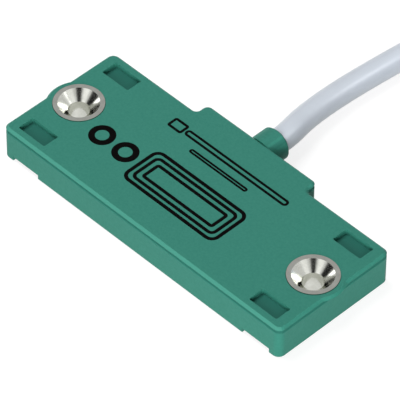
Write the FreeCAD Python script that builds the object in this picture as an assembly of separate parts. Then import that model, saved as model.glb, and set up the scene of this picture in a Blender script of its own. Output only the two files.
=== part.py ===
import FreeCAD, Part
import math
import os

# Flat capacitive proximity sensor with a moulded tray, a bonded cover, two countersunk bushings and a
# fixed cable. Millimetres. The origin lies between the two screw holes on the mounting face, X runs
# along the housing, Y towards the cable exit and Z up through the sensing face.

# Housing sizes
hole_pitch = 46.0
body_width = 21.3
tray_height = 5.0
cover_thickness = 0.7
corner_radius = 1.1
cavity_corner = 0.7
wall = 0.8
floor_thickness = 0.8
joint_groove = 0.28
cover_edge_bevel = 0.38
base_bevel = 0.2

# Screw bushings
bore_diameter = 3.2
countersink_diameter = 6.0
barrel_diameter = 5.2
flange_diameter = 7.4
flange_proud = 0.1
bushing_fit = 0.05
sleeve_wall = 1.2
lobe_wall = 1.05
lobe_proud = 0.6
lobe_blend = 0.5

# Rear bump and cable boss
bump_length = 21.5
bump_shift = 0.35
bump_depth = 2.25
bump_corner = 0.9
bump_root = 0.8
boss_diameter = 5.1
boss_length = 3.4
boss_bevel = 0.3

# Shallow pockets in the cover and clip recesses below them
pocket_length = 5.2
pocket_width = 2.7
pocket_depth = 0.8
pocket_edge_gap = 1.3
pocket_from_hole = 0.3
pocket_corner = 0.25
pocket_wall = 0.4
pocket_floor = 0.45
recess_height = 0.9
recess_reach = 3.2

# Locating rim under the cover
rim_height = 0.8
rim_thickness = 0.8
rim_clearance = 0.1
sleeve_clearance = 0.3
cable_way = 6.6

# Circuit board and what it carries
board_thickness = 0.8
board_end_clearance = 0.3
board_side_clearance = 0.25
board_corner = 0.6
foil_thickness = 0.1
foil_gap = 0.2
rib_width = 1.6
rib_overlap = 0.6
rib_inset = 3.4
cap_length = 0.35
cap_proud = 0.04
chip_row_pitch = 0.14

# Soldered parts, each as its length, width and height
sensor_chip_size = (5.0, 4.0, 1.5)
regulator_size = (4.5, 2.5, 1.5)
transistor_size = (2.9, 1.3, 1.0)
polarity_diode_size = (2.7, 1.6, 1.1)
suppressor_size = (4.2, 2.6, 1.8)
smoothing_size = (3.2, 1.6, 1.6)
chip_capacitor_size = (1.6, 0.8, 0.8)
chip_resistor_size = (1.6, 0.8, 0.45)

# Legs of the packages, each as its width and reach
sensor_chip_leg = (0.4, 0.9)
regulator_leg = (0.5, 0.8)
transistor_leg = (0.4, 0.6)
sensor_chip_leg_pitch = 1.27
regulator_leg_pitch = 1.5
transistor_leg_pitch = 1.9

# Places of the soldered parts, as shares of the board's half length and half width
sensor_chip_place = (-0.48, -0.12)
regulator_place = (0.42, 0.30)
transistor_place = (0.10, 0.16)
polarity_diode_place = (-0.12, 0.20)
suppressor_place = (-0.48, 0.58)
smoothing_place = (0.42, -0.30)
capacitor_row_share = -0.42
resistor_row_share = -0.68
capacitor_count = 4
resistor_count = 6

# Sensing foils, centred under the printed area
foil_centre_x = 0.4
foil_centre_y = -2.1
sensing_length = 12.4
sensing_width = 2.4
guard_width = 0.7
foil_spacing = 0.5
ground_width = 1.0

# Cable
cable_diameter = 3.8
cable_fit = 0.05
clamp_wall = 0.2
clamp_length = 1.2
clamp_setback = 0.1
core_diameter = 1.0
strand_diameter = 0.45
core_pitch = 1.15
pad_pitch = 2.6
board_core_gap = 0.1
solder_width = 0.9
solder_bevel = 0.2
stub_reach = 2.1
lead_reach = 3.2
bare_reach = 0.9
seal_gap = 0.1
floor_gap = 0.01

# Put-away coil and the open end of the cable
coil_columns = 4
coil_layers = 4
coil_mean_radius = 19.5
coil_x = 25.5
coil_y = 66.0
tail_core_reach = 26.5
tail_core_spread = 4.0
tail_bare_length = 5.0

# Length by which a cutting tool runs past the face that it opens
cut_margin = 1.0

# Share of the shorter side that a rounded corner may take
corner_share = 0.45

# Worked out from the sizes above
bore_radius = bore_diameter / 2
barrel_radius = barrel_diameter / 2
flange_radius = flange_diameter / 2
sleeve_radius = barrel_radius + bushing_fit + sleeve_wall
lobe_radius = flange_radius + lobe_wall
hole_x = hole_pitch / 2
half_length = hole_x + lobe_radius - lobe_proud
half_width = body_width / 2
body_height = tray_height + cover_thickness
bump_left = bump_shift - bump_length / 2
bump_right = bump_shift + bump_length / 2
bump_y = half_width + bump_depth
boss_radius = boss_diameter / 2
boss_end = bump_y + boss_length
cable_z = body_height - boss_radius
cable_radius = cable_diameter / 2
clamp_radius = cable_radius + cable_fit + clamp_wall
cavity_half_width = half_width - wall
cavity_half_length = half_length - wall
end_floor = recess_height + floor_thickness
board_half_length = hole_x - sleeve_radius - board_end_clearance
rim_outer = cavity_half_width - rim_clearance
board_half_width = rim_outer - rim_thickness - board_side_clearance
board_top = tray_height - foil_gap - foil_thickness
board_bottom = board_top - board_thickness
stub_end = bump_y - wall - stub_reach
core_radius = core_diameter / 2
core_z = board_bottom - board_core_gap - core_radius
pad_y = stub_end - lead_reach
pocket_y0 = half_width - pocket_edge_gap - pocket_width
pocket_y1 = half_width - pocket_edge_gap
pocket_x0 = hole_x - pocket_from_hole - pocket_length / 2
pocket_x1 = hole_x - pocket_from_hole + pocket_length / 2
pocket_base = body_height - pocket_depth
coil_width = coil_columns * cable_diameter
coil_height = coil_layers * cable_diameter
coil_outer = coil_mean_radius + coil_width / 2
coil_inner = coil_mean_radius - coil_width / 2

V = FreeCAD.Vector
UP = V(0, 0, 1)
ALONG_Y = V(0, 1, 0)


def box(x0, x1, y0, y1, z0, z1):
    return Part.makeBox(x1 - x0, y1 - y0, z1 - z0, V(x0, y0, z0))


def post(x, y, z0, z1, radius):
    return Part.makeCylinder(radius, z1 - z0, V(x, y, z0), UP)


def rod_y(x, z, y0, y1, radius):
    return Part.makeCylinder(radius, y1 - y0, V(x, y0, z), ALONG_Y)


def rounded_edges(corners, radii):
    """Straight sides joined by tangent arcs, one radius for each corner."""
    count = len(corners)
    starts = []
    middles = []
    ends = []
    for i, corner in enumerate(corners):
        before = corners[i - 1] - corner
        after = corners[(i + 1) % count] - corner
        limit = corner_share * min(before.Length, after.Length)
        toward = before.normalize()
        onward = after.normalize()
        half = toward.getAngle(onward) / 2
        reach = min(radii[i] / math.tan(half), limit)
        radius = reach * math.tan(half)
        bisector = (toward + onward).normalize()
        centre = corner + bisector * (radius / math.sin(half))
        starts.append(corner + toward * reach)
        middles.append(centre - bisector * radius)
        ends.append(corner + onward * reach)
    edges = []
    for i in range(count):
        edges.append(Part.Arc(starts[i], middles[i], ends[i]).toShape())
        edges.append(Part.LineSegment(ends[i], starts[(i + 1) % count]).toShape())
    return edges


def plate(edges, z0, z1):
    face = Part.Face(Part.Wire(edges))
    face.translate(V(0, 0, z0))
    return face.extrude(V(0, 0, z1 - z0))


def rounded_plate(x0, x1, y0, y1, z0, z1, radius):
    corners = [V(x0, y0, 0), V(x1, y0, 0), V(x1, y1, 0), V(x0, y1, 0)]
    return plate(rounded_edges(corners, [radius] * 4), z0, z1)


def edges_at(shape, z):
    """Edges that lie wholly at the height z."""
    flat = []
    for edge in shape.Edges:
        bounds = edge.BoundBox
        if abs(bounds.ZMin - z) < 1e-6 and abs(bounds.ZMax - z) < 1e-6:
            flat.append(edge)
    return flat


def body_corners():
    corners = [
        V(-half_length, -half_width, 0),
        V(half_length, -half_width, 0),
        V(half_length, half_width, 0),
        V(bump_right, half_width, 0),
        V(bump_right, bump_y, 0),
        V(bump_left, bump_y, 0),
        V(bump_left, half_width, 0),
        V(-half_length, half_width, 0),
    ]
    radii = [corner_radius] * 3 + [bump_root, bump_corner, bump_corner, bump_root, corner_radius]
    return corners, radii


def end_lobe():
    """Round lobe outside the right short edge, blended into it by two concave arcs."""
    edge = half_length - hole_x
    blend_x = edge + lobe_blend
    blend_y = math.sqrt((lobe_radius + lobe_blend) ** 2 - blend_x ** 2)
    blend = V(blend_x, blend_y, 0)
    to_edge = V(-1, 0, 0)
    to_lobe = V(-blend_x, -blend_y, 0).normalize()
    to_middle = (to_edge + to_lobe).normalize()
    upper = [blend + way * lobe_blend for way in (to_lobe, to_middle, to_edge)]
    lower = [V(point.x, -point.y, 0) for point in reversed(upper)]
    placed = []
    for point in lower + [V(lobe_radius, 0, 0)] + upper:
        placed.append(point + V(hole_x, 0, 0))
    edges = []
    for i in (0, 2, 4):
        edges.append(Part.Arc(placed[i], placed[i + 1], placed[i + 2]).toShape())
    edges.append(Part.LineSegment(placed[6], placed[0]).toShape())
    return plate(edges, tray_height, body_height)


def housing_tray():
    corners, radii = body_corners()
    tray = plate(rounded_edges(corners, radii), 0, tray_height)
    tray = tray.makeChamfer(joint_groove, edges_at(tray, tray_height))
    tray = tray.makeChamfer(base_bevel, edges_at(tray, 0))
    cavity = rounded_plate(
        -cavity_half_length, cavity_half_length, -cavity_half_width, cavity_half_width,
        end_floor, tray_height, cavity_corner)
    middle = rounded_plate(
        -board_half_length, board_half_length, -cavity_half_width, cavity_half_width,
        floor_thickness, tray_height, cavity_corner)
    bay = rounded_plate(
        bump_left + wall, bump_right - wall, 0, bump_y - wall,
        floor_thickness, tray_height, cavity_corner)
    tray = tray.cut(cavity).cut(middle).cut(bay)
    for side in (-1, 1):
        sleeve = post(side * hole_x, 0, 0, tray_height, sleeve_radius)
        inside = box(-cavity_half_length - wall / 2, cavity_half_length + wall / 2,
                     -cavity_half_width, cavity_half_width, 0, tray_height)
        tray = tray.fuse(sleeve.common(inside))
    rib_reach = board_half_width - rib_overlap
    for side_x in (-1, 1):
        for side_y in (-1, 1):
            x = side_x * (board_half_length - rib_inset)
            y0, y1 = sorted((side_y * rib_reach, side_y * (cavity_half_width + wall / 2)))
            tray = tray.fuse(box(x - rib_width / 2, x + rib_width / 2, y0, y1,
                                 floor_thickness / 2, board_bottom))
    boss = rod_y(0, cable_z, bump_y, boss_end, boss_radius)
    rim = [edge for edge in boss.Edges if abs(edge.BoundBox.YMin - boss_end) < 1e-6]
    boss = boss.makeChamfer(boss_bevel, rim)
    tray = tray.fuse(boss)
    tray = tray.cut(rod_y(0, cable_z, bump_y - wall - cut_margin, boss_end + cut_margin,
                          cable_radius + cable_fit))
    tray = tray.cut(rod_y(0, cable_z, stub_end - seal_gap, bump_y - wall, clamp_radius + cable_fit))
    for side in (-1, 1):
        tray = tray.cut(post(side * hole_x, 0, -cut_margin, tray_height + cut_margin,
                             barrel_radius + bushing_fit))
    for side_x in (-1, 1):
        x0, x1 = sorted((side_x * pocket_x0, side_x * pocket_x1))
        for side_y in (-1, 1):
            y0, y1 = sorted((side_y * (half_width - recess_reach), side_y * (half_width + cut_margin)))
            tray = tray.cut(box(x0, x1, y0, y1, -cut_margin, recess_height))
    return tray.removeSplitter()


def housing_cover():
    corners, radii = body_corners()
    lobe = end_lobe()
    turned_lobe = lobe.copy()
    turned_lobe.rotate(V(0, 0, 0), UP, 180)
    cover = plate(rounded_edges(corners, radii), tray_height, body_height)
    cover = cover.fuse(lobe).fuse(turned_lobe).removeSplitter()
    cover = cover.makeChamfer(cover_edge_bevel, edges_at(cover, body_height))
    cover = cover.makeChamfer(joint_groove, edges_at(cover, tray_height))
    outer = rounded_plate(
        -cavity_half_length + rim_clearance, cavity_half_length - rim_clearance, -rim_outer, rim_outer,
        tray_height - rim_height, tray_height, cavity_corner)
    inset = rim_clearance + rim_thickness
    inner = rounded_plate(
        -cavity_half_length + inset, cavity_half_length - inset, -rim_outer + rim_thickness,
        rim_outer - rim_thickness, tray_height - rim_height, tray_height, cavity_corner)
    rim = outer.cut(inner)
    for side in (-1, 1):
        rim = rim.cut(post(side * hole_x, 0, 0, tray_height, sleeve_radius + sleeve_clearance))
    rim = rim.cut(box(-cable_way / 2, cable_way / 2, 0, half_width, 0, tray_height))
    cover = cover.fuse(rim)
    for side in (-1, 1):
        cover = cover.cut(post(side * hole_x, 0, 0, body_height + cut_margin, flange_radius + bushing_fit))
    for side_x in (-1, 1):
        for side_y in (-1, 1):
            x0, x1 = sorted((side_x * pocket_x0, side_x * pocket_x1))
            y0, y1 = sorted((side_y * pocket_y0, side_y * pocket_y1))
            cover = cover.fuse(box(x0 - pocket_wall, x1 + pocket_wall, y0 - pocket_wall, y1 + pocket_wall,
                                   pocket_base - pocket_floor, tray_height))
            cover = cover.cut(rounded_plate(x0, x1, y0, y1, pocket_base, body_height + cut_margin,
                                            pocket_corner))
    cover = cover.cut(rod_y(0, cable_z, stub_end - seal_gap, bump_y + cut_margin, cable_radius + cable_fit))
    cover = cover.cut(rod_y(0, cable_z, stub_end - seal_gap, bump_y - wall, clamp_radius + cable_fit))
    return cover.removeSplitter()


def bushing(side):
    sink = (countersink_diameter - bore_diameter) / 2
    top = body_height + flange_proud
    profile = [
        V(bore_radius, 0, 0),
        V(barrel_radius, 0, 0),
        V(barrel_radius, 0, tray_height),
        V(flange_radius, 0, tray_height),
        V(flange_radius, 0, top),
        V(countersink_diameter / 2, 0, top),
        V(bore_radius, 0, top - sink),
        V(bore_radius, 0, 0),
    ]
    turned = Part.Face(Part.makePolygon(profile)).revolve(V(0, 0, 0), UP, 360)
    turned.translate(V(side * hole_x, 0, 0))
    return turned


def circuit_board():
    return rounded_plate(-board_half_length, board_half_length, -board_half_width, board_half_width,
                         board_bottom, board_top, board_corner)


def foil_plate(length, width):
    return box(foil_centre_x - length / 2, foil_centre_x + length / 2,
               foil_centre_y - width / 2, foil_centre_y + width / 2,
               board_top, board_top + foil_thickness)


def foil_ring(length, width, band):
    return foil_plate(length, width).cut(foil_plate(length - 2 * band, width - 2 * band))


def chip(place, size):
    """Two-ended part soldered under the board, with its end caps."""
    x, y = place
    length, width, height = size
    x0 = x - length / 2
    x1 = x + length / 2
    body = box(x0 + cap_proud, x1 - cap_proud, y - width / 2 + cap_proud, y + width / 2 - cap_proud,
               board_bottom - height + cap_proud, board_bottom - cap_proud)
    left = box(x0, x0 + cap_length, y - width / 2, y + width / 2, board_bottom - height, board_bottom)
    right = box(x1 - cap_length, x1, y - width / 2, y + width / 2, board_bottom - height, board_bottom)
    return body.fuse(left).fuse(right).removeSplitter()


def leg(x, y, body_width, side, height, width, reach):
    """Bent leg from the side of a package down to the board."""
    y0 = y + side * body_width / 2
    sheet = 0.25 * height
    middle = board_bottom - height * 0.5
    points = [
        V(x - width / 2, y0, middle - sheet / 2),
        V(x - width / 2, y0 + side * (reach * 0.5 + sheet), middle - sheet / 2),
        V(x - width / 2, y0 + side * (reach * 0.5 + sheet), board_bottom - sheet),
        V(x - width / 2, y0 + side * reach, board_bottom - sheet),
        V(x - width / 2, y0 + side * reach, board_bottom),
        V(x - width / 2, y0 + side * reach * 0.5, board_bottom),
        V(x - width / 2, y0 + side * reach * 0.5, middle + sheet / 2),
        V(x - width / 2, y0, middle + sheet / 2),
        V(x - width / 2, y0, middle - sheet / 2),
    ]
    return Part.Face(Part.makePolygon(points)).extrude(V(width, 0, 0))


def package(place, size, near, far, leg_size):
    """Moulded package under the board; near and far give the legs' places along its two sides."""
    x, y = place
    length, width, height = size
    leg_width, leg_reach = leg_size
    lift = 0.1 * height
    body = box(x - length / 2, x + length / 2, y - width / 2, y + width / 2,
               board_bottom - height, board_bottom - lift)
    shape = body.makeChamfer(lift, edges_at(body, board_bottom - height))
    for side, places in ((-1, near), (1, far)):
        for place in places:
            shape = shape.fuse(leg(x + place, y, width, side, height, leg_width, leg_reach))
    return shape.removeSplitter()


def spread(count, pitch):
    return [(i - (count - 1) / 2) * pitch for i in range(count)]


def path_wire(points):
    """Straight runs joined by tangent arcs; returns the wire and the arcs' radii."""
    edges = []
    radii = []
    start = points[0]
    for before, corner, after in zip(points, points[1:], points[2:]):
        back = before - corner
        ahead = after - corner
        reach = corner_share * min(back.Length, ahead.Length)
        turn = math.pi - back.getAngle(ahead)
        radius = reach / math.tan(turn / 2)
        toward = back.normalize()
        onward = ahead.normalize()
        bisector = (toward + onward).normalize()
        centre = corner + bisector * (radius / math.cos(turn / 2))
        arc_start = corner + toward * reach
        arc_end = corner + onward * reach
        edges.append(Part.LineSegment(start, arc_start).toShape())
        edges.append(Part.Arc(arc_start, centre - bisector * radius, arc_end).toShape())
        radii.append(radius)
        start = arc_end
    edges.append(Part.LineSegment(start, points[-1]).toShape())
    return Part.Wire(edges), radii


def tube(name, points, diameter):
    wire, radii = path_wire(points)
    heading = points[1] - points[0]
    disc = Part.Face(Part.Wire(Part.makeCircle(diameter / 2, points[0], heading)))
    solid = Part.Wire(wire).makePipeShell([disc.OuterWire], True, True)
    expected = math.pi * diameter ** 2 / 4 * wire.Length
    print(name, "length %.2f" % wire.Length, "volume ratio %.5f" % (solid.Volume / expected),
          "radii", ["%.1f" % radius for radius in radii])
    return solid


def lead(index):
    """Insulated core from the jacket's end straight to its pad, with a bare end along the pad."""
    x_pad = (index - 1) * pad_pitch
    start = V((index - 1) * core_pitch, stub_end, core_z)
    along = (V(x_pad, pad_y, core_z) - start).normalize()
    rod = Part.makeCylinder(core_radius, lead_reach + 2 * cut_margin, start - along * cut_margin, along)
    reach_x = pad_pitch + cut_margin
    insulation = rod.common(box(-reach_x, reach_x, pad_y, stub_end, 0, tray_height))
    strand = rod_y(x_pad, core_z, pad_y - bare_reach, pad_y, strand_diameter / 2)
    return insulation.fuse(strand)


def solder_joint(index, wire):
    """Fillet of solder that holds a bare core end to its pad."""
    x = (index - 1) * pad_pitch
    low = core_z - strand_diameter
    block = box(x - solder_width / 2, x + solder_width / 2, pad_y - bare_reach, pad_y, low, board_bottom)
    return block.makeChamfer(solder_bevel, edges_at(block, low)).cut(wire)


def cable_clamp():
    y1 = bump_y - wall - clamp_setback
    y0 = y1 - clamp_length
    outer = rod_y(0, cable_z, y0, y1, clamp_radius)
    return outer.cut(rod_y(0, cable_z, y0 - cut_margin, y1 + cut_margin, cable_radius + cable_fit))


def cable_seal():
    """Resin that fills the bump round the cable, behind the board."""
    y1 = bump_y - wall - seal_gap
    inset = wall + cavity_corner
    block = box(bump_left + inset, bump_right - inset, stub_end, y1, floor_thickness, tray_height - seal_gap)
    block = block.cut(rod_y(0, cable_z, 0, bump_y, cable_radius + cable_fit))
    clamp_start = bump_y - wall - clamp_setback - clamp_length - seal_gap
    return block.cut(rod_y(0, cable_z, clamp_start, bump_y, clamp_radius + cable_fit))


def cable_route():
    """Out of the boss, down to the floor and along it to the coil."""
    return [
        V(0, boss_end, cable_z),
        V(0, boss_end + 2.2, cable_z),
        V(-1.15, 22.8, 2.65),
        V(-1.65, 31.2, 2.0),
        V(-0.6, 43.4, cable_radius + floor_gap),
        V(2.4, 55.2, cable_radius + floor_gap),
    ]


def cable_coil():
    ring = post(coil_x, coil_y, 0, coil_height, coil_outer)
    return ring.cut(post(coil_x, coil_y, 0, coil_height, coil_inner))


def tail_route():
    """From the coil's far side straight along the floor to the end of the jacket."""
    start = V(coil_x + 23.0, coil_y + 6.0, cable_radius + floor_gap)
    return [
        start,
        start + V(7.0, -22.0, 0),
    ]


def tail_core(index):
    """Insulated core with a bare strand, fanned out from the jacket's end and down to the floor."""
    start, end = tail_route()
    turn = math.degrees(math.atan2(end.y - start.y, end.x - start.x))
    root = V(0, (index - 1) * core_pitch, 0)
    foot = V(tail_core_reach, (index - 1) * tail_core_spread, core_radius + floor_gap - end.z)
    along = (foot - root).normalize()
    rod = Part.makeCylinder(core_radius, foot.distanceToPoint(root) + cut_margin,
                            root - along * cut_margin, along)
    insulation = rod.cut(box(-2 * cut_margin, 0, -cable_radius, cable_radius, -cable_radius, cable_radius))
    core = insulation.fuse(Part.makeCylinder(strand_diameter / 2, tail_bare_length, foot, along))
    core.rotate(V(0, 0, 0), UP, turn)
    core.translate(end)
    return core


def export(name, shape):
    if not shape.isValid():
        print(name, "is not valid")
    shape.exportStep(os.path.join("parts", name + ".step"))
    print(name, "solids", len(shape.Solids), "volume %.2f" % shape.Volume)


def board_place(share_x, share_y):
    return share_x * board_half_length, share_y * board_half_width


def chip_row(count, share_y, size):
    return Part.makeCompound([
        chip(board_place(share_x, share_y), size) for share_x in spread(count, chip_row_pitch)])


def board_parts():
    """Everything soldered under the board, each at its share of the board's half sizes."""
    chip_legs = spread(4, sensor_chip_leg_pitch)
    return {
        "sensor_chip": package(
            board_place(*sensor_chip_place), sensor_chip_size, chip_legs, chip_legs, sensor_chip_leg),
        "voltage_regulator": package(
            board_place(*regulator_place), regulator_size, spread(3, regulator_leg_pitch), [0],
            regulator_leg),
        "output_transistor": package(
            board_place(*transistor_place), transistor_size, spread(2, transistor_leg_pitch), [0],
            transistor_leg),
        "polarity_diode": chip(board_place(*polarity_diode_place), polarity_diode_size),
        "suppressor_diode": chip(board_place(*suppressor_place), suppressor_size),
        "smoothing_capacitor": chip(board_place(*smoothing_place), smoothing_size),
        "chip_capacitors": chip_row(capacitor_count, capacitor_row_share, chip_capacitor_size),
        "chip_resistors": chip_row(resistor_count, resistor_row_share, chip_resistor_size),
    }


def foils():
    guard_length = sensing_length + 2 * (foil_spacing + guard_width)
    guard_span = sensing_width + 2 * (foil_spacing + guard_width)
    ground_length = guard_length + 2 * (foil_spacing + ground_width)
    ground_span = guard_span + 2 * (foil_spacing + ground_width)
    return {
        "sensing_electrode": foil_plate(sensing_length, sensing_width),
        "guard_electrode": foil_ring(guard_length, guard_span, guard_width),
        "ground_electrode": foil_ring(ground_length, ground_span, ground_width),
    }


def cable_pieces():
    coil = cable_coil()
    pieces = {
        "cable_inside": rod_y(0, cable_z, stub_end, boss_end, cable_radius),
        "cable_clamp": cable_clamp(),
        "cable_seal": cable_seal(),
        "cable_run": tube("cable run", cable_route(), cable_diameter).cut(coil),
        "cable_coil": coil,
        "cable_tail": tube("cable tail", tail_route(), cable_diameter).cut(coil),
    }
    wires = []
    for index, colour in enumerate(("brown", "black", "blue")):
        wire = lead(index)
        wires.append(wire)
        pieces["lead_" + colour] = wire
        pieces["core_end_" + colour] = tail_core(index)
    joints = [solder_joint(index, wire) for index, wire in enumerate(wires)]
    pieces["solder_joints"] = Part.makeCompound(joints)
    return pieces


os.makedirs("parts", exist_ok=True)

nodes = {
    "housing_tray": housing_tray(),
    "housing_cover": housing_cover(),
    "bushing_left": bushing(-1),
    "bushing_right": bushing(1),
    "circuit_board": circuit_board(),
}
nodes.update(foils())
nodes.update(board_parts())
nodes.update(cable_pieces())

for name, shape in nodes.items():
    export(name, shape)
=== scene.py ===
import math

import bmesh
import bpy
from mathutils import Matrix, Vector


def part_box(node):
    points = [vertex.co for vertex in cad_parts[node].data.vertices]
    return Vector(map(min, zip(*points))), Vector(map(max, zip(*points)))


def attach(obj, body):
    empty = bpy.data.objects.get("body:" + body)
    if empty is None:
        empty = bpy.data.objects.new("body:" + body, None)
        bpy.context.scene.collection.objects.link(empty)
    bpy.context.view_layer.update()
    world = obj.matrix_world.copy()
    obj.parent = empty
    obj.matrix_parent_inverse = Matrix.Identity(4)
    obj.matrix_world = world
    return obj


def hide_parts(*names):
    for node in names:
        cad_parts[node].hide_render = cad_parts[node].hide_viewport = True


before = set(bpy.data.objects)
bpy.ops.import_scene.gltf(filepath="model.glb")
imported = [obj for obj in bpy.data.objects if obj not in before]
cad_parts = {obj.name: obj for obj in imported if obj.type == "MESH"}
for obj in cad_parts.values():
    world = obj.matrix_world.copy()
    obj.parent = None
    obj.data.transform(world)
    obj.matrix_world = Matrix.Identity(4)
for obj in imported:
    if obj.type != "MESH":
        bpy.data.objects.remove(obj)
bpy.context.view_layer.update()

MM = 0.001

# Sizes shared with the solids, in millimetres
cable_radius = 1.9
boss_end = 16.3
cable_z = 3.15
cable_floor_z = 1.91
coil_x = 25.5
coil_y = 66.0
coil_outer_turn = 25.2
coil_layer_pitch = 3.79
cover_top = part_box("housing_cover")[1][2] / MM
pocket_floor = cover_top - 0.8
tray_top = cover_top - 0.7
core_length = 26.5


def linear(code):
    """An sRGB hex colour as linear red, green, blue and alpha."""
    channels = []
    for start in (0, 2, 4):
        value = int(code[start:start + 2], 16) / 255
        channels.append(value / 12.92 if value <= 0.04045 else ((value + 0.055) / 1.055) ** 2.4)
    return (*channels, 1.0)


def per_mm(size):
    """Texture scale that gives a pattern this many millimetres across."""
    return 1 / (size * MM)


# Camera

def make_camera():
    azimuth = math.radians(45.213)
    elevation = math.radians(45.639)
    roll = math.radians(0.5165)
    distance = 600.04 * MM
    target = Vector((-1.6205, 2.8188, 0.0)) * MM
    back = Vector((
        math.sin(azimuth) * math.cos(elevation),
        -math.cos(azimuth) * math.cos(elevation),
        math.sin(elevation)))
    level_right = Vector((math.cos(azimuth), math.sin(azimuth), 0))
    level_up = back.cross(level_right)
    right = level_right * math.cos(roll) + level_up * math.sin(roll)
    up = level_up * math.cos(roll) - level_right * math.sin(roll)
    data = bpy.data.cameras.new("camera")
    data.sensor_width = 36.0
    data.lens = 389.48
    data.clip_start = 0.05
    data.clip_end = 20.0
    camera = bpy.data.objects.new("camera", data)
    turn = Matrix((right, up, back)).transposed().to_4x4()
    camera.matrix_world = Matrix.Translation(target + back * distance) @ turn
    bpy.context.scene.collection.objects.link(camera)
    bpy.context.scene.camera = camera


make_camera()


# Cable, from the boss to the coil and out to its bare end

def cable_lead_in():
    return [
        (0, boss_end, cable_z),
        (0, boss_end + 2.2, cable_z),
        (-1.15, 22.8, 2.65),
        (-1.65, 31.2, 2.0),
        (-0.6, 43.4, cable_floor_z),
        (1.0, 55.0, cable_floor_z),
    ]


def ease(share):
    share = min(max(share, 0.0), 1.0)
    return share * share * (3 - 2 * share)


def on_coil(angle, radius, height):
    """A point of the coil by its angle from the east, and its distance from the coil's axis."""
    return coil_x + radius * math.cos(angle), coil_y + radius * math.sin(angle), height


def coil_turns():
    """Four layers of four turns, wound in and out in turn, clockwise from the west."""
    places = []
    for layer in range(4):
        columns = range(4) if layer % 2 == 0 else reversed(range(4))
        for column in columns:
            places.append((coil_outer_turn - column * 2 * cable_radius,
                           cable_floor_z + layer * coil_layer_pitch))
    per_turn = 24
    turns = 15.25
    shift_share = 0.2  # last share of a turn, in which the cable moves over to its next place
    points = []
    for step in range(int(turns * per_turn) + 1):
        turn, place = divmod(step / per_turn, 1)
        radius, height = places[int(turn)]
        next_radius, next_height = places[min(int(turn) + 1, len(places) - 1)]
        shift = ease((place - 1 + shift_share) / shift_share)
        radius += (next_radius - radius) * shift
        height += (next_height - height) * shift
        angle = math.pi - 2 * math.pi * step / per_turn
        points.append(on_coil(angle, radius, height))
    return points


def coil_descent():
    """Down the outside of the coil on its east side."""
    points = []
    for degrees, radius, height in ((68, 26.1, 12.8), (50, 28.2, 11.0), (32, 29.3, 7.8),
                                    (15, 29.3, 4.0), (0, 29.1, 2.1)):
        angle = math.radians(degrees)
        points.append(on_coil(angle, radius, height))
    return points


def cable_end():
    return [
        (coil_x + 28.1, coil_y - 7.4, cable_floor_z),
        (coil_x + 30.0, coil_y - 16.0, cable_floor_z),
    ]


def make_cable():
    curve = bpy.data.curves.new("cable", "CURVE")
    curve.dimensions = "3D"
    curve.bevel_depth = 1.0
    curve.bevel_resolution = 6
    curve.resolution_u = 4
    curve.use_fill_caps = True
    points = cable_lead_in() + coil_turns() + coil_descent() + cable_end()
    spline = curve.splines.new("NURBS")
    spline.points.add(len(points) - 1)
    for point, place in zip(spline.points, points):
        point.co = (*(Vector(place) * MM), 1.0)
        point.radius = cable_radius * MM
    spline.order_u = 3
    spline.use_endpoint_u = True
    cable = bpy.data.objects.new("cable", curve)
    bpy.context.scene.collection.objects.link(cable)
    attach(cable, "root")
    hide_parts("cable_run", "cable_coil", "cable_tail")


make_cable()


# Printed marks on the sensing face

ink_height = 0.012
ink_pieces = []


def rounded_outline(x, y, half_x, half_y, radius, steps=8):
    points = []
    for corner in range(4):
        side_x = 1 if corner in (0, 3) else -1
        side_y = 1 if corner in (0, 1) else -1
        for step in range(steps + 1):
            angle = (corner + step / steps) * math.pi / 2
            points.append((x + side_x * (half_x - radius) + radius * math.cos(angle),
                           y + side_y * (half_y - radius) + radius * math.sin(angle)))
    return points


def ink_band(name, outer, inner):
    """Flat layer of ink between two outlines with the same number of points."""
    mesh = bmesh.new()
    rings = []
    for outline, height in ((inner, cover_top), (inner, cover_top + ink_height),
                            (outer, cover_top + ink_height), (outer, cover_top)):
        rings.append([mesh.verts.new((x * MM, y * MM, height * MM)) for x, y in outline])
    count = len(outer)
    for first, second in zip(rings, rings[1:] + rings[:1]):
        for i in range(count):
            j = (i + 1) % count
            mesh.faces.new((first[i], first[j], second[j], second[i]))
    bmesh.ops.recalc_face_normals(mesh, faces=mesh.faces)
    data = bpy.data.meshes.new(name)
    mesh.to_mesh(data)
    mesh.free()
    piece = bpy.data.objects.new(name, data)
    bpy.context.scene.collection.objects.link(piece)
    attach(piece, "root")
    ink_pieces.append(piece)


def ink_frame(name, x, y, half_x, half_y, radius, line):
    """Rounded rectangle drawn with a line of this width, given by its centre line."""
    half = line / 2
    ink_band(name,
             rounded_outline(x, y, half_x + half, half_y + half, radius + half),
             rounded_outline(x, y, half_x - half, half_y - half, max(radius - half, 0.02)))


def ink_ring(name, x, y, radius, line):
    ink_frame(name, x, y, radius, radius, radius, line)


def print_marks():
    centre_x = 0.3
    centre_y = -2.03
    ink_frame("target_outer", centre_x, centre_y, 8.76, 3.42, 1.15, 0.57)
    ink_frame("target_middle", centre_x, centre_y, 7.79, 2.48, 0.75, 0.53)
    ink_frame("target_inner", centre_x, centre_y, 6.69, 1.46, 0.28, 0.53)
    ink_ring("plain_ring_left", -16.1, -2.05, 1.5, 0.95)
    ink_ring("plain_ring_right", -11.45, -2.05, 1.5, 0.95)
    ink_frame("plain_frame", -10.1, 6.85, 1.15, 0.8, 0.2, 0.42)
    ink_frame("upper_rule", 1.4, 6.85, 9.75, 0.42, 0.4, 0.4)
    ink_frame("lower_rule", 0.0, 4.7, 5.4, 0.24, 0.22, 0.34)


print_marks()


# Materials

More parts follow.
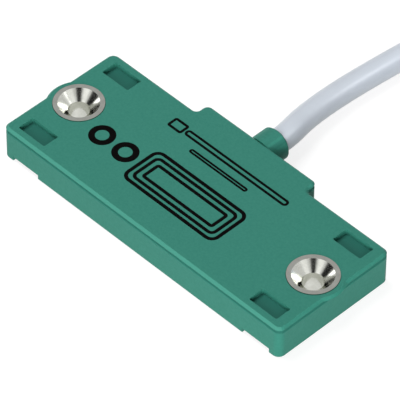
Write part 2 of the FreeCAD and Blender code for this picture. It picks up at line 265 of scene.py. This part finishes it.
def add_node(tree, kind, values=None, links=None, **settings):
    """One node with its own settings, its sockets' values and its incoming links."""
    node = tree.nodes.new(kind)
    for name, value in settings.items():
        setattr(node, name, value)
    for socket, value in (values or {}).items():
        node.inputs[socket].default_value = value
    for socket, source in (links or {}).items():
        tree.links.new(source, node.inputs[socket])
    return node


def new_material(name, values):
    """A material with its surface shader, whose constants are set on its own sockets."""
    material = bpy.data.materials.new(name)
    material.use_nodes = True
    tree = material.node_tree
    tree.nodes.clear()
    surface = add_node(tree, "ShaderNodeBsdfPrincipled", values)
    add_node(tree, "ShaderNodeOutputMaterial", links={"Surface": surface.outputs["BSDF"]})
    return material, tree, surface


def where(tree, value, operation, limit):
    """One where the value passes the test against the limit, and zero elsewhere."""
    node = add_node(tree, "ShaderNodeMath", {1: limit}, {0: value}, operation=operation)
    return node.outputs[0]


def product(tree, first, second):
    """Product of two values, which is one where two tests both pass."""
    node = add_node(tree, "ShaderNodeMath", links={0: first, 1: second}, operation="MULTIPLY")
    return node.outputs[0]


def tinted(tree, share, colour, code):
    """The colour, replaced by a hex colour as far as the share says."""
    node = add_node(tree, "ShaderNodeMix", {7: linear(code)}, {0: share, 6: colour},
                    data_type="RGBA")
    return node.outputs[2]


def mottle(tree, coordinates, size, dark, light):
    """Noise of this size in millimetres, between two colours."""
    noise = add_node(tree, "ShaderNodeTexNoise", {"Scale": per_mm(size), "Detail": 4.0},
                     {"Vector": coordinates})
    ramp = add_node(tree, "ShaderNodeValToRGB", links={"Fac": noise.outputs["Fac"]})
    ramp.color_ramp.elements[0].position = 0.3
    ramp.color_ramp.elements[0].color = linear(dark)
    ramp.color_ramp.elements[1].position = 0.7
    ramp.color_ramp.elements[1].color = linear(light)
    return ramp.outputs["Color"]


def grain(tree, coordinates, size, depth, strength, normal=None):
    """Bump from noise of this size and depth in millimetres."""
    noise = add_node(tree, "ShaderNodeTexNoise", {"Scale": per_mm(size), "Detail": 3.0},
                     {"Vector": coordinates})
    links = {"Height": noise.outputs["Fac"]}
    if normal is not None:
        links["Normal"] = normal
    bump = add_node(tree, "ShaderNodeBump", {"Strength": strength, "Distance": depth * MM}, links)
    return bump.outputs["Normal"]


def moulded_pbt():
    """Glass-filled PBT from a spark-eroded mould: an even satin green with a fine grain.

    It is darker on level faces, along the joint and in the pockets, where shade is painted into its
    colour, and lighter on the front bevel, where a highlight is painted.
    """
    # height band that finds the pocket floors, which get painted shade
    pocket_shade_band = 0.1
    # painted shade along the joint: full in its core, fading out to the edge of its band
    joint_shade_band = 0.3
    joint_shade_core = 0.2
    level_rise = 0.9
    # the bevel gets a painted highlight where its slope lies between these rises and it faces the
    # front
    bevel_rise = (0.3, 0.8)
    front_lean = -0.3
    # painted shade: level faces are multiplied darker, standing in for less light falling on the
    # top
    painted_level_shade = (0.95, 0.87, 0.88, 1.0)
    edge_radius = 0.08

    material, tree, surface = new_material("moulded_pbt", {
        "Roughness": 0.45, "IOR": 1.5, "Specular IOR Level": 0.1})
    place = add_node(tree, "ShaderNodeTexCoord").outputs["Object"]
    height = add_node(tree, "ShaderNodeSeparateXYZ", links={"Vector": place}).outputs["Z"]
    facing = add_node(tree, "ShaderNodeNewGeometry").outputs["Normal"]
    normal = add_node(tree, "ShaderNodeSeparateXYZ", links={"Vector": facing})
    lean = normal.outputs["Y"]
    rise = normal.outputs["Z"]

    level = where(tree, rise, "GREATER_THAN", level_rise)
    in_pocket = product(tree,
                        where(tree, height, "LESS_THAN", (pocket_floor + pocket_shade_band) * MM),
                        where(tree, height, "GREATER_THAN", (pocket_floor - pocket_shade_band) * MM))
    painted_pocket_shade = product(tree, in_pocket, level)
    on_bevel = product(tree,
                       where(tree, rise, "LESS_THAN", bevel_rise[1]),
                       where(tree, rise, "GREATER_THAN", bevel_rise[0]))
    painted_bevel_highlight = product(tree, on_bevel, where(tree, lean, "LESS_THAN", front_lean))
    # band around the joint between tray and cover, darkened as painted shade
    above_joint = add_node(tree, "ShaderNodeMath", {1: tray_top * MM}, {0: height},
                           operation="SUBTRACT")
    from_joint = add_node(tree, "ShaderNodeMath", links={0: above_joint.outputs[0]},
                          operation="ABSOLUTE")
    joint = add_node(tree, "ShaderNodeMapRange",
                     {1: joint_shade_band * MM, 2: joint_shade_core * MM, 3: 0.0, 4: 1.0},
                     {"Value": from_joint.outputs[0]})

    green = mottle(tree, place, 0.35, "368070", "3C8676")
    # painted shade darkens the level faces, the top and the pocket floors alike
    shaded = add_node(tree, "ShaderNodeMix", {7: painted_level_shade}, {0: level, 6: green},
                      data_type="RGBA", blend_type="MULTIPLY")
    # painted highlight lightens the front bevel
    colour = tinted(tree, painted_bevel_highlight, shaded.outputs[2], "448A7A")
    # painted shade darkens the band along the joint
    colour = tinted(tree, joint.outputs[0], colour, "33786A")
    # painted shade darkens the pocket floors
    colour = tinted(tree, painted_pocket_shade, colour, "2A6459")
    tree.links.new(colour, surface.inputs["Base Color"])

    soft_edge = add_node(tree, "ShaderNodeBevel", {"Radius": edge_radius * MM})
    bumped = grain(tree, place, 0.22, 0.02, 0.35, soft_edge.outputs["Normal"])
    tree.links.new(bumped, surface.inputs["Normal"])
    return material


def turned_steel():
    """Nickel-plated steel turned on a lathe: fine rings that draw the light into wedges."""
    material, tree, surface = new_material("turned_steel", {
        "Metallic": 1.0, "Roughness": 0.15, "Anisotropic": 0.7})
    place = add_node(tree, "ShaderNodeTexCoord").outputs["Object"]
    tree.links.new(mottle(tree, place, 1.2, "CCCDC5", "D9DAD3"), surface.inputs["Base Color"])
    tangent = add_node(tree, "ShaderNodeTangent", direction_type="RADIAL", axis="Z")
    tree.links.new(tangent.outputs["Tangent"], surface.inputs["Tangent"])
    tree.links.new(grain(tree, place, 0.3, 0.004, 0.3), surface.inputs["Normal"])
    return material


def printed_ink():
    """Pad-printed ink: a thin near-black film, slightly uneven."""
    material, tree, surface = new_material("printed_ink", {
        "Roughness": 0.6, "Specular IOR Level": 0.04})
    place = add_node(tree, "ShaderNodeTexCoord").outputs["Object"]
    tree.links.new(mottle(tree, place, 0.5, "020202", "070505"), surface.inputs["Base Color"])
    return material


def cable_pvc():
    """Extruded PVC jacket: pale bluish grey with a soft sheen and faint draw lines."""
    material, tree, surface = new_material("cable_pvc", {
        "Roughness": 0.3, "IOR": 1.52, "Specular IOR Level": 0.5})
    place = add_node(tree, "ShaderNodeTexCoord").outputs["Object"]
    tree.links.new(mottle(tree, place, 2.5, "C5CCD5", "C9D0D9"), surface.inputs["Base Color"])
    tree.links.new(grain(tree, place, 0.35, 0.006, 0.15), surface.inputs["Normal"])
    return material


def core_pvc(name, dark, light):
    """Thin glossy insulation up to its stripped end, and bright copper strand past that."""
    material, tree, surface = new_material(name, {"Roughness": 0.35})
    place = add_node(tree, "ShaderNodeTexCoord").outputs["Object"]
    heading = Vector((7.0, -22.0, 0.0)).normalized()
    start = Vector(cable_end()[-1]) * MM
    strip_gap = 0.2
    along = add_node(tree, "ShaderNodeVectorMath", {1: heading}, {0: place},
                     operation="DOT_PRODUCT")
    stripped = where(tree, along.outputs["Value"], "GREATER_THAN",
                     start.dot(heading) + (core_length + strip_gap) * MM)
    insulation = mottle(tree, place, 1.5, dark, light)
    tree.links.new(tinted(tree, stripped, insulation, "C98A5E"), surface.inputs["Base Color"])
    tree.links.new(stripped, surface.inputs["Metallic"])
    return material


def plain_finish(name, dark, light, size, values):
    """A hidden piece's own finish, mottled at the size of its real grain."""
    material, tree, surface = new_material(name, values)
    place = add_node(tree, "ShaderNodeTexCoord").outputs["Object"]
    tree.links.new(mottle(tree, place, size, dark, light), surface.inputs["Base Color"])
    tree.links.new(grain(tree, place, size, 0.01, 0.2), surface.inputs["Normal"])
    return material


def paint(material, *names):
    """Gives a CAD node or a piece this material in each of its slots."""
    for name in names:
        data = bpy.data.objects[name].data
        if len(data.materials) == 0:
            data.materials.append(material)
        for index in range(len(data.materials)):
            data.materials[index] = material


# Name, two colours, size of the grain, surface and pieces
hidden_finishes = (
    ("lacquered_laminate", "1A5230", "226039", 0.8, {"Roughness": 0.3},
     ["circuit_board"]),
    ("etched_copper", "C0795A", "CF8A68", 0.6, {"Metallic": 1.0, "Roughness": 0.3},
     ["sensing_electrode", "guard_electrode", "ground_electrode"]),
    ("moulded_epoxy", "161618", "222224", 0.2, {"Roughness": 0.55},
     ["sensor_chip", "voltage_regulator", "output_transistor", "polarity_diode",
      "suppressor_diode", "chip_resistors"]),
    ("fired_ceramic", "96785A", "A88A6A", 0.2, {"Roughness": 0.4},
     ["smoothing_capacitor", "chip_capacitors"]),
    ("solder", "B8B8B8", "CCCCCC", 0.3, {"Metallic": 1.0, "Roughness": 0.25},
     ["solder_joints"]),
    ("crimped_brass", "B08D4C", "C49F58", 0.3, {"Metallic": 1.0, "Roughness": 0.3},
     ["cable_clamp"]),
    ("cast_resin", "1A1A1C", "262628", 0.5, {"Roughness": 0.3},
     ["cable_seal"]),
)


def finish_surfaces():
    paint(moulded_pbt(), "housing_tray", "housing_cover")
    paint(turned_steel(), "bushing_left", "bushing_right")
    paint(printed_ink(), *[piece.name for piece in ink_pieces])
    paint(cable_pvc(), "cable", "cable_inside")
    paint(core_pvc("brown_pvc", "4A2A18", "5A3420"), "lead_brown", "core_end_brown")
    paint(core_pvc("black_pvc", "141414", "1E1E1E"), "lead_black", "core_end_black")
    paint(core_pvc("blue_pvc", "1B4C9C", "2458AC"), "lead_blue", "core_end_blue")
    for name, dark, light, size, values, pieces in hidden_finishes:
        paint(plain_finish(name, dark, light, size, values), *pieces)


finish_surfaces()


# Floor, background and lamps

def seen_directly(tree):
    """One for rays from the camera and for those that metal and glass send on."""
    rays = add_node(tree, "ShaderNodeLightPath")
    either = add_node(tree, "ShaderNodeMath", operation="MAXIMUM", links={
        0: rays.outputs["Is Camera Ray"], 1: rays.outputs["Is Glossy Ray"]})
    any_of_them = add_node(tree, "ShaderNodeMath", operation="MAXIMUM", links={
        0: either.outputs[0], 1: rays.outputs["Is Transmission Ray"]})
    return any_of_them.outputs[0]


def make_floor():
    """Pale floor that stays white to the eye, near and far, and keeps a soft shadow."""
    half = 1.5
    near = 0.15
    far = 0.6
    near_glow = 0.83
    far_glow = 1.0
    data = bpy.data.meshes.new("floor")
    corners = [(-half, -half, 0), (half, -half, 0), (half, half, 0), (-half, half, 0)]
    data.from_pydata(corners, [], [(0, 1, 2, 3)])
    floor = bpy.data.objects.new("floor", data)
    floor.location.z = -0.02 * MM
    bpy.context.scene.collection.objects.link(floor)
    material = bpy.data.materials.new("pale_floor")
    material.use_nodes = True
    tree = material.node_tree
    tree.nodes.clear()
    seen = seen_directly(tree)
    shade = add_node(tree, "ShaderNodeMix", {6: linear("8E8E8E"), 7: linear("8C8C8C")}, {0: seen},
                     data_type="RGBA")
    matt = add_node(tree, "ShaderNodeBsdfDiffuse", links={"Color": shade.outputs[2]})
    place = add_node(tree, "ShaderNodeNewGeometry").outputs["Position"]
    away = add_node(tree, "ShaderNodeVectorMath", links={0: place}, operation="LENGTH")
    glow_by_place = add_node(tree, "ShaderNodeMapRange",
                             {1: near, 2: far, 3: near_glow, 4: far_glow},
                             {"Value": away.outputs["Value"]})
    strength = product(tree, seen, glow_by_place.outputs[0])
    glow = add_node(tree, "ShaderNodeEmission", links={"Strength": strength})
    both = add_node(tree, "ShaderNodeAddShader", links={0: matt.outputs[0], 1: glow.outputs[0]})
    add_node(tree, "ShaderNodeOutputMaterial", links={"Surface": both.outputs[0]})
    data.materials.append(material)


def studio_card(tree, before, direction, half_angle, brightness):
    """A round card, dark or bright, which only reflections show: it scales what was there."""
    full_share = 0.75
    ray = add_node(tree, "ShaderNodeTexCoord").outputs["Generated"]
    near = add_node(tree, "ShaderNodeVectorMath", {1: Vector(direction).normalized()}, {0: ray},
                    operation="DOT_PRODUCT")
    edge = math.cos(math.radians(half_angle))
    inner = math.cos(math.radians(half_angle * full_share))
    light = add_node(tree, "ShaderNodeMapRange", {1: edge, 2: inner, 3: 1.0, 4: brightness},
                     {0: near.outputs["Value"]})
    return product(tree, before, light.outputs[0])


# Direction, half angle in degrees and brightness of each card
studio_cards = (
    ((0.49, -0.49, 0.72), 14, 0.02),
    ((-0.68, -0.60, 0.42), 23, 0.03),
    ((-0.49, 0.49, 0.72), 34, 0.6),
    ((0.02, -0.76, 0.65), 14, 1.6),
    ((0.80, 0.10, 0.60), 16, 1.4),
    ((-0.95, -0.27, 0.17), 10, 3.0),
    ((0.50, 0.49, 0.71), 16, 6.5),
)


def make_world():
    """Dim light from all sides, white to the eye and slightly less so in reflections."""
    ambient = 0.16
    mirrored = 0.8
    world = bpy.data.worlds.new("studio")
    world.use_nodes = True
    tree = world.node_tree
    tree.nodes.clear()
    rays = add_node(tree, "ShaderNodeLightPath")
    level = add_node(tree, "ShaderNodeMix", {2: ambient, 3: 1.0}, {0: seen_directly(tree)})
    level = level.outputs[0]
    shown = add_node(tree, "ShaderNodeMath", {0: mirrored}, {1: level}, operation="MULTIPLY")
    shown = shown.outputs[0]
    for direction, half_angle, brightness in studio_cards:
        shown = studio_card(tree, shown, direction, half_angle, brightness)
    strength = add_node(tree, "ShaderNodeMix", links={
        0: rays.outputs["Is Glossy Ray"], 2: level, 3: shown})
    back = add_node(tree, "ShaderNodeBackground", {"Color": (1.0, 1.0, 1.0, 1.0)},
                    {"Strength": strength.outputs[0]})
    add_node(tree, "ShaderNodeOutputWorld", links={"Surface": back.outputs[0]})
    bpy.context.scene.world = world


def make_lamp(name, azimuth, elevation, power):
    """Square lamp aimed at the part's origin, which reflections don't show."""
    distance = 0.5
    size = 0.3
    turn = math.radians(azimuth)
    rise = math.radians(elevation)
    back = Vector((
        math.sin(turn) * math.cos(rise),
        -math.cos(turn) * math.cos(rise),
        math.sin(rise)))
    data = bpy.data.lights.new(name, "AREA")
    data.energy = power
    data.size = size
    lamp = bpy.data.objects.new(name, data)
    lamp.location = back * distance
    lamp.rotation_mode = "QUATERNION"
    lamp.rotation_quaternion = back.to_track_quat("Z", "Y")
    lamp.visible_glossy = False
    bpy.context.scene.collection.objects.link(lamp)


make_floor()
make_world()
make_lamp("key", 42, 14, 3.0)
make_lamp("top", -80, 66, 2.05)
bpy.context.scene.view_settings.view_transform = "Standard"
